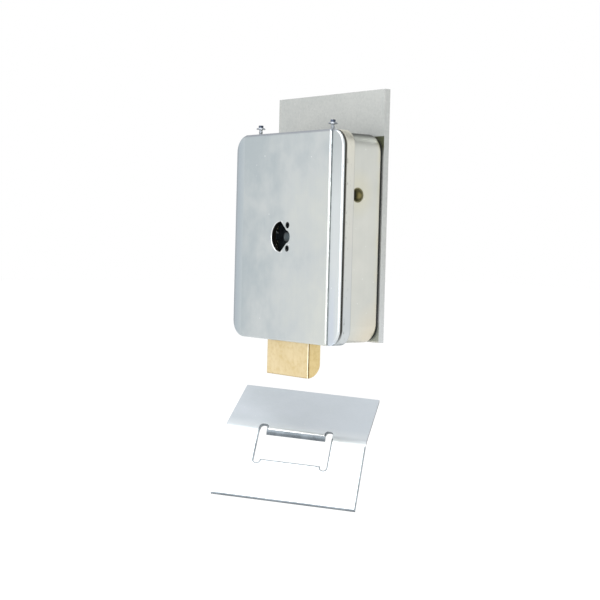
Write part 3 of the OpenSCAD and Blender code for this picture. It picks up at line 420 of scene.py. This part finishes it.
def brushed_metal(name, dark, light, rough_low, rough_high, line_mm, run_mm, metallic=1.0, tint=plain_tint):
    """Ground or drawn metal: fine lines that run along Z, with slow changes of tone."""
    material, tree, place = start_material(name)
    lines = drawn_lines(tree, place, line_mm, run_mm, 4.0)
    clouds = add(tree, "TexNoise", {"Vector": place, "Scale": per(9), "Detail": 3.0})["Fac"]
    tone = add(tree, "Math", [lines, 0.7, clouds], operation="MULTIPLY_ADD")[0]
    colour = tint(tree, place, two_tones(tree, tone, 0.5, dark, 1.0, light))[0]
    rough = add(tree, "MapRange", [lines, 0.3, 0.7, rough_low, rough_high])[0]
    finish_material(tree, colour, rough, lines, 0.006, Metallic=metallic)
    return material


def moulded_plastic(name, dark, light):
    """Injection moulded plastic: even colour under a fine spark-eroded grain."""
    material, tree, place = start_material(name)
    grain = add(tree, "TexNoise", {"Vector": place, "Scale": per(0.6), "Detail": 3.0})["Fac"]
    rough = add(tree, "MapRange", [grain, 0.0, 1.0, 0.4, 0.6])[0]
    finish_material(tree, two_tones(tree, grain, 0.3, dark, 0.7, light), rough, grain, 0.01, IOR=1.5)
    return material


def wound_copper():
    """Enamelled copper wire in turns: reddish, glossy, with a ridge for each turn, drawn coarser to show."""
    material, tree, place = start_material("enamelled_copper_winding")
    wave = {"Vector": place, "Scale": per(16), "Distortion": 0.4}
    turns = add(tree, "TexWave", wave, wave_type="BANDS", bands_direction="Z")["Fac"]
    rough = add(tree, "MapRange", [turns, 0.0, 1.0, 0.4, 0.25])[0]
    colour = two_tones(tree, turns, 0.1, "#6e3317", 0.8, "#c0703c")
    finish_material(tree, colour, rough, turns, 0.15, Metallic=0.85)
    return material


FINISHES = {
    "zinc_sheet": zinc_sheet("zinc_plated_cover", "#c3cacd", "#cdd2d3", 0.3, 0.42, cover_tint),
    "galvanised_plate": galvanised_plate(),
    "strike_sheet": zinc_sheet("zinc_plated_strike", "#ccd4da", "#d6dde4", 0.36, 0.45, strike_tint),
    "screw_steel": brushed_metal("zinc_plated_screw_steel", "#a4a9b0", "#d2d6da", 0.25, 0.38, 0.5, 4),
    "bolt_brass": brushed_metal("ground_brass", "#e4cd98", "#f1e0b6", 0.34, 0.46, 0.6, 18, 0.75),
    "black_steel": brushed_metal("blackened_steel", "#2c3237", "#4f585f", 0.3, 0.45, 0.5, 5, 0.7),
    "yellow_zinc": brushed_metal("yellow_passivated_steel", "#b89c58", "#dcc98a", 0.28, 0.42, 0.8, 12),
    "spring_steel": brushed_metal("drawn_spring_wire", "#7e8388", "#aeb3b8", 0.22, 0.35, 0.3, 3),
    "white_plastic": moulded_plastic("natural_nylon", "#dedbd0", "#ece9e0"),
    "copper_wire": wound_copper(),
    "black_plastic": moulded_plastic("black_phenolic", "#17171a", "#2a2a2d"),
    "gasket_rubber": moulded_plastic("black_sheet_rubber", "#0f0f10", "#1d1d1e"),
}
OWN_FINISH = {
    "rear_case": zinc_sheet("zinc_plated_case", "#c8cac4", "#d2d3cc", 0.32, 0.44, case_tint),
    "lid_frame": zinc_sheet("zinc_plated_lid", "#cacbc6", "#d3d3cc", 0.3, 0.42, lid_tint),
    "cable_bush": brushed_metal("yellow_passivated_bush", "#8f865a", "#cfc48e", 0.4, 0.55, 0.8, 3, 0.3,
                                bush_tint),
    "key_hub": brushed_metal("blackened_hub", "#232b2e", "#434e52", 0.35, 0.5, 0.5, 5, 0.5, hub_tint),
    "bolt_head": brushed_metal("ground_brass_bolt", "#d8c392", "#e5d3aa", 0.3, 0.42, 0.6, 18, 0.85,
                               bolt_tint),
}
SHEARED_EDGE = brushed_metal("sheared_steel_edge", "#50575c", "#7d858b", 0.35, 0.5, 0.4, 2, 0.8)
# Painted shade: the cover screws' steel is a darker copy of the screw steel.
SCREW_THREAD = brushed_metal("plated_screw_thread", "#6f757c", "#a9aeb4", 0.3, 0.45, 0.5, 3, 0.8)
BLUED_STEEL = brushed_metal("blued_steel", "#20242e", "#474e5c", 0.25, 0.4, 0.5, 3, 0.85)


def paint(piece, material):
    """Puts one material in every slot of a piece."""
    for slot in piece.material_slots:
        slot.material = material
    if not piece.material_slots:
        piece.data.materials.append(material)


def finish_of(node):
    """The material that a solid wears."""
    return OWN_FINISH.get(node, FINISHES[SLOT_OF[node]])


# Pieces that stand for solids, with the soft edges of pressed and ground metal

SAME_POINT_MM = 0.002
SAME_FLAT = math.radians(0.4)
SHARP_EDGE = math.radians(40)
SMOOTH_SHEET = math.radians(32)
SMOOTH_WIRE = math.radians(60)
ROLLED_EDGE_MM = 0.5

# Rounding of each piece's edges: width in millimetres and segments
EDGE_ROUNDING = {
    "bolt_head": (0.5, 3),
    "strike_plate": (0.3, 2),
    "mounting_plate": (0.3, 2),
    "key_hub": (0.3, 2),
    "front_cover": (0.4, 3),
    "lid_frame": (0.25, 2),
    "rear_case": (0.25, 2),
}


def merged_copy(node, name):
    """A painted copy of a solid with its doubled points merged, selected and ready to be shaped."""
    piece = bpy.data.objects.new(name, frame["nodes"][node].data.copy())
    bpy.context.scene.collection.objects.link(piece)
    bpy.ops.object.select_all(action="DESELECT")
    piece.select_set(True)
    bpy.context.view_layer.objects.active = piece
    bpy.ops.object.mode_set(mode="EDIT")
    bpy.ops.mesh.select_all(action="SELECT")
    bpy.ops.mesh.remove_doubles(threshold=SAME_POINT_MM * MM)
    bpy.ops.object.mode_set(mode="OBJECT")
    paint(piece, finish_of(node))
    return piece


def stand_for(piece, node):
    """Shows a piece in a solid's place, on the same body, and hides the solid."""
    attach(piece, BODY_OF[node])
    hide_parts(node)


def roll_key_edge(piece):
    """Rounds the left front edge of the key opening more than the cover's other edges."""
    mesh = piece.data
    front = min(vertex.co.y for vertex in mesh.vertices)
    centre = Vector(KEY_CENTRE_MM) * MM
    for element in (mesh.polygons, mesh.edges, mesh.vertices):
        element.foreach_set("select", [False] * len(element))
    for edge in mesh.edges:
        ends = [mesh.vertices[index].co for index in edge.vertices]
        edge.select = all(end.y < front + ON_FACE and end.x < KEY_LEFT_END
                          and (end - centre).xz.length < (KEY_R_MM + 0.1) * MM for end in ends)
    bpy.ops.object.mode_set(mode="EDIT")
    bpy.ops.mesh.select_mode(type="EDGE")
    bpy.ops.mesh.bevel(offset=ROLLED_EDGE_MM * MM, segments=3, affect="EDGES")
    bpy.ops.object.mode_set(mode="OBJECT")


# The strike's dark bands beside its cut edges: width, reach round the hole and to its left, and cosines
# between its faces

BAND_MM = 0.8
HOLE_REACH_MM = 32
LEFT_REACH_MM = 20
CAMERA_RIGHT = Vector((0.61, 0.79, 0))
UPPER_SIDE = 0.85
SAME_WAY = 0.999
BENT_LEAST, BENT_MOST = 0.95, 0.5


def mark_sheared_edges(piece):
    """Gives the strike's cut edges and its folded lip the look of sheared steel, and gives narrow bands on
    its flats round the hole and along the lower flat's edges the same dark colour.

    Each face also gets a share that says how far round the bend it lies, from the upper to the lower flat.
    """
    mesh = piece.data
    by_area = sorted((face for face in mesh.polygons if face.normal.z > 0), key=lambda face: -face.area)
    first = by_area[0]
    second = next(face for face in by_area if BENT_MOST < face.normal.dot(first.normal) < BENT_LEAST)
    upper, lower = (face.normal.copy() for face in sorted((first, second), key=lambda face: -face.center.z))
    middle = (upper + lower).normalized()
    for face in mesh.polygons:
        if abs(face.normal.dot(middle)) < UPPER_SIDE:
            face.material_index = 1
        face.select = face.normal.dot(middle) > UPPER_SIDE and face.material_index == 0
    bpy.ops.object.mode_set(mode="EDIT")
    bpy.ops.mesh.select_mode(type="FACE")
    bpy.ops.mesh.inset(thickness=BAND_MM * MM, use_boundary=True, use_even_offset=True)
    bpy.ops.object.mode_set(mode="OBJECT")
    openings = {opening["name"]: opening["box_m"] for opening in frame["record"]["physics"]["openings"]}
    hole = sum((Vector(corner) for corner in openings["strike_hole"]), Vector()) / 2
    for face in mesh.polygons:
        band = face.normal.dot(middle) > UPPER_SIDE and face.material_index == 0 and not face.select
        round_hole = (face.center - hole).length < HOLE_REACH_MM * MM
        beside = (face.center - hole).dot(CAMERA_RIGHT) > -LEFT_REACH_MM * MM
        # Bands round the hole and along the lower flat's edges take the sheared edges' dark colour.
        if band and (round_hole or beside and face.normal.dot(lower) > SAME_WAY):
            face.material_index = 1
    share = mesh.attributes.new(BEND_SHARE, "FLOAT", "FACE")
    share.data.foreach_set("value", [face.normal.angle(upper) / lower.angle(upper) for face in mesh.polygons])


def rounded_copy(node, edge_mm, segments, edge_finish=None):
    """A merged copy of a solid with its sharp edges rounded, shown in the solid's place."""
    piece = merged_copy(node, node + "_rounded")
    bpy.ops.object.mode_set(mode="EDIT")
    bpy.ops.mesh.select_all(action="SELECT")
    bpy.ops.mesh.dissolve_limited(angle_limit=SAME_FLAT)
    bpy.ops.object.mode_set(mode="OBJECT")
    if node == "front_cover":
        roll_key_edge(piece)
    bevel = piece.modifiers.new("rounded edges", "BEVEL")
    bevel.limit_method = "ANGLE"
    bevel.angle_limit = SHARP_EDGE
    bevel.width = edge_mm * MM
    bevel.segments = segments
    if edge_finish:
        piece.data.materials.append(edge_finish)
        bevel.material = 1
    bpy.ops.object.modifier_apply(modifier=bevel.name)
    if node == "strike_plate":
        mark_sheared_edges(piece)
    bpy.ops.object.shade_smooth_by_angle(angle=SMOOTH_SHEET)
    flats = piece.modifiers.new("flat faces", "WEIGHTED_NORMAL")
    flats.keep_sharp = True
    bpy.ops.object.modifier_apply(modifier=flats.name)
    stand_for(piece, node)


def shortening_spring():
    """The bolt's spring, with its fixed upper end, as a smooth-shaded copy in the solid's place."""
    piece = merged_copy("bolt_spring", "bolt_spring_coil")
    bpy.ops.object.shade_smooth_by_angle(angle=SMOOTH_WIRE)
    stand_for(piece, "bolt_spring")
    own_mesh(piece)


for node, (edge_mm, segments) in EDGE_ROUNDING.items():
    rounded_copy(node, edge_mm, segments, SHEARED_EDGE if node == "strike_plate" else None)

shortening_spring()

for node, solid in frame["nodes"].items():
    paint(solid, finish_of(node))


# Cover screws, in millimetres: one is modelled, with thread, washer flange and hexagon head, and copied

SCREW_R = 1.25
SCREW_CORE_R = 1.0
SCREW_TIP_R = 0.8
SCREW_LENGTH = 12.0
SCREW_SIDES = 32
PLAIN_NECK = 1.0
NECK_FROM, NECK_FULL = -0.5, -0.3
THREAD_START = 0.2
THREAD_PITCH = 0.7
CREST_FROM, CREST_TO = 0.4 * THREAD_PITCH, 0.6 * THREAD_PITCH
FLANGE_R = 2.9
FLANGE_H = 1.1
FLANGE_RIM_H = 0.45
FLANGE_SLOPE = 0.5
EDGE_BREAK = 0.1
HEAD_R = 1.7
HEAD_H = 1.5
HEAD_CHAMFER = 0.25
HEAD_DISH_R = 1.1
HEAD_SIDES = 6
SCREWED_IN = 2.6
SMOOTH_TURNED = math.radians(25)


def turned(name, sides, profile):
    """A solid turned round Z, extruded ring by ring through steps of radius and height in millimetres."""
    bpy.ops.object.select_all(action="DESELECT")
    radius, height = profile[0]
    bpy.ops.mesh.primitive_circle_add(vertices=sides, radius=radius * MM, fill_type="NGON",
                                      location=(0, 0, height * MM))
    piece = bpy.context.object
    piece.name = name
    bpy.ops.object.transform_apply(location=True)
    bpy.ops.object.mode_set(mode="EDIT")
    bpy.ops.mesh.select_all(action="SELECT")
    for next_radius, next_height in profile[1:]:
        rise = (0, 0, (next_height - height) * MM)
        bpy.ops.mesh.extrude_region_move(TRANSFORM_OT_translate={"value": rise})
        grow = next_radius / radius
        bpy.ops.transform.resize(value=(grow, grow, 1), center_override=(0, 0, next_height * MM))
        radius, height = next_radius, next_height
    bpy.ops.mesh.select_all(action="SELECT")
    bpy.ops.mesh.normals_make_consistent(inside=False)
    bpy.ops.object.mode_set(mode="OBJECT")
    bpy.ops.object.shade_smooth_by_angle(angle=SMOOTH_TURNED)
    return piece


def cover_screw():
    """The screw, standing with its flange's lower face at the origin."""
    thread = [(SCREW_TIP_R, -SCREW_LENGTH)]
    for turn in range(int((SCREW_LENGTH - PLAIN_NECK) / THREAD_PITCH)):
        root = -SCREW_LENGTH + THREAD_START + turn * THREAD_PITCH
        thread += [(SCREW_CORE_R, root), (SCREW_R, root + CREST_FROM), (SCREW_R, root + CREST_TO)]
    neck = [(SCREW_CORE_R, NECK_FROM), (SCREW_R, NECK_FULL), (SCREW_R, 0)]
    flange = [(FLANGE_R - EDGE_BREAK, 0), (FLANGE_R, EDGE_BREAK), (FLANGE_R, FLANGE_RIM_H),
              (FLANGE_R - FLANGE_SLOPE, FLANGE_H - EDGE_BREAK), (HEAD_R, FLANGE_H)]
    screw = turned("cover_screw_left", SCREW_SIDES, thread + neck + flange)
    paint(screw, SCREW_THREAD)
    top = FLANGE_H + HEAD_H
    hexagon = [(HEAD_R, FLANGE_H), (HEAD_R, top - HEAD_CHAMFER), (HEAD_R - HEAD_CHAMFER, top),
               (HEAD_DISH_R, top), (HEAD_DISH_R - EDGE_BREAK, top - HEAD_CHAMFER)]
    head = turned("cover_screw_head", HEAD_SIDES, hexagon)
    paint(head, BLUED_STEEL)
    bpy.ops.object.select_all(action="DESELECT")
    head.select_set(True)
    screw.select_set(True)
    bpy.context.view_layer.objects.active = screw
    bpy.ops.object.join()
    return screw


def place_cover_screws():
    """Stands the two screws in their holes, both as far out as the photograph shows."""
    low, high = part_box("cover_screws")
    left = cover_screw()
    right = bpy.data.objects.new("cover_screw_right", left.data.copy())
    bpy.context.scene.collection.objects.link(right)
    side = high.x - FLANGE_R * MM
    depth = (low.y + high.y) / 2
    seat = high.z - (SCREWED_IN + HEAD_H + FLANGE_H) * MM
    for screw, x in ((left, -side), (right, side)):
        screw.data.transform(Matrix.Translation((x, depth, seat)))
        stand_for(screw, "cover_screws")


place_cover_screws()


# Studio: the dark area of the world fades in between two cosines of the angle to its middle

FLOOR_DROP = 70 * MM
FLOOR_HALF = 6.0
FLOOR_GLOW = 1.12
FLOOR_GLOW_SHARE = 0.78
DARK_MIDDLE = Vector((0.04, 0.61, 0.79)).normalized()
DARK_FROM, DARK_FULL = 0.8, 0.96
DARK_LEVEL = 0.25
MATT_LEVEL = 0.8


def seen_rays(tree):
    """1 for rays from the camera and for reflections and see-through rays, else 0."""
    path = add(tree, "LightPath")
    seen = add(tree, "Math", [path["Is Camera Ray"], path["Is Glossy Ray"]], operation="MAXIMUM")[0]
    return add(tree, "Math", [seen, path["Is Transmission Ray"]], operation="MAXIMUM")[0]


def white_studio_world():
    """White all round, with one dark area above and behind the lock, and a plain light for matt surfaces."""
    world = bpy.data.worlds.new("white_studio")
    bpy.context.scene.world = world
    world.use_nodes = True
    tree = world.node_tree
    tree.nodes.clear()
    direction = add(tree, "TexCoord")["Generated"]
    toward = add(tree, "VectorMath", [direction, DARK_MIDDLE], operation="DOT_PRODUCT")["Value"]
    dark = add(tree, "MapRange", [toward, DARK_FROM, DARK_FULL, 1.0, DARK_LEVEL])[0]
    level = add(tree, "MapRange", [seen_rays(tree), 0.0, 1.0, MATT_LEVEL, 1.0])[0]
    strength = add(tree, "Math", [dark, level], operation="MULTIPLY")[0]
    light = add(tree, "Background", {"Color": "#ffffff", "Strength": strength})["Background"]
    add(tree, "OutputWorld", {"Surface": light})


def pale_floor():
    """A plain white floor well below the strike plate, which keeps a soft shadow."""
    bpy.ops.object.select_all(action="DESELECT")
    bpy.ops.mesh.primitive_plane_add(size=2 * FLOOR_HALF, location=(0, 0, CAD_BOX[0].z - FLOOR_DROP))
    floor = bpy.context.object
    floor.name = "floor"
    material = bpy.data.materials.new("white_floor")
    material.use_nodes = True
    tree = material.node_tree
    tree.nodes.clear()
    glow = add(tree, "Emission", {"Color": "#ffffff", "Strength": FLOOR_GLOW})["Emission"]
    matt = add(tree, "BsdfDiffuse", {"Color": "#ffffff"})["BSDF"]
    share = add(tree, "Math", [seen_rays(tree), FLOOR_GLOW_SHARE], operation="MULTIPLY")[0]
    blend = add(tree, "MixShader", [share, matt, glow])["Shader"]
    add(tree, "OutputMaterial", {"Surface": blend})
    paint(floor, material)


def soft_box(name, place, target, size, power, colour):
    """A square area lamp that faces a target point."""
    lamp = bpy.data.lights.new(name, "AREA")
    lamp.size = size
    lamp.energy = power
    lamp.color = linear(colour)[:3]
    holder = bpy.data.objects.new(name, lamp)
    bpy.context.scene.collection.objects.link(holder)
    holder.location = place
    holder.rotation_euler = (Vector(target) - Vector(place)).to_track_quat("-Z", "Y").to_euler()


white_studio_world()
pale_floor()
soft_box("front_box", (0.35, -1.25, 0.35), (0.0, -0.03, -0.03), 0.5, 4.0, "#f6faff")
soft_box("overhead_box", (0.1, -0.42, 0.72), (0.0, -0.05, -0.14), 0.9, 6.5, "#ffffff")
soft_box("camera_box", (0.72, -0.52, 0.06), (0.03, -0.03, 0.0), 0.12, 2.0, "#ffffff")


# Camera at the photograph's viewing angle

CAMERA_PLACE = Vector((0.70291, -0.56639, -0.00398))
CAMERA_YAW = math.radians(52.34)
CAMERA_PITCH = math.radians(2.29)
CAMERA_ROLL = math.radians(1.48)
CAMERA_LENS_MM = 84.6
CAMERA_SENSOR_MM = 36


def photo_camera():
    """A long lens a little right of the lock, rolled as the photograph is."""
    back = Vector((math.sin(CAMERA_YAW) * math.cos(CAMERA_PITCH),
                   -math.cos(CAMERA_YAW) * math.cos(CAMERA_PITCH),
                   math.sin(CAMERA_PITCH)))
    level = Vector((0, 0, 1)).cross(back).normalized()
    upright = back.cross(level)
    right = math.cos(CAMERA_ROLL) * level + math.sin(CAMERA_ROLL) * upright
    up = back.cross(right)
    lens = bpy.data.cameras.new("photo_camera")
    lens.lens = CAMERA_LENS_MM
    lens.sensor_width = CAMERA_SENSOR_MM
    camera = bpy.data.objects.new("photo_camera", lens)
    bpy.context.scene.collection.objects.link(camera)
    turn = Matrix((right, up, back)).transposed().to_4x4()
    camera.matrix_world = Matrix.Translation(CAMERA_PLACE) @ turn
    bpy.context.scene.camera = camera


photo_camera()
bpy.context.scene.view_settings.view_transform = "Standard"
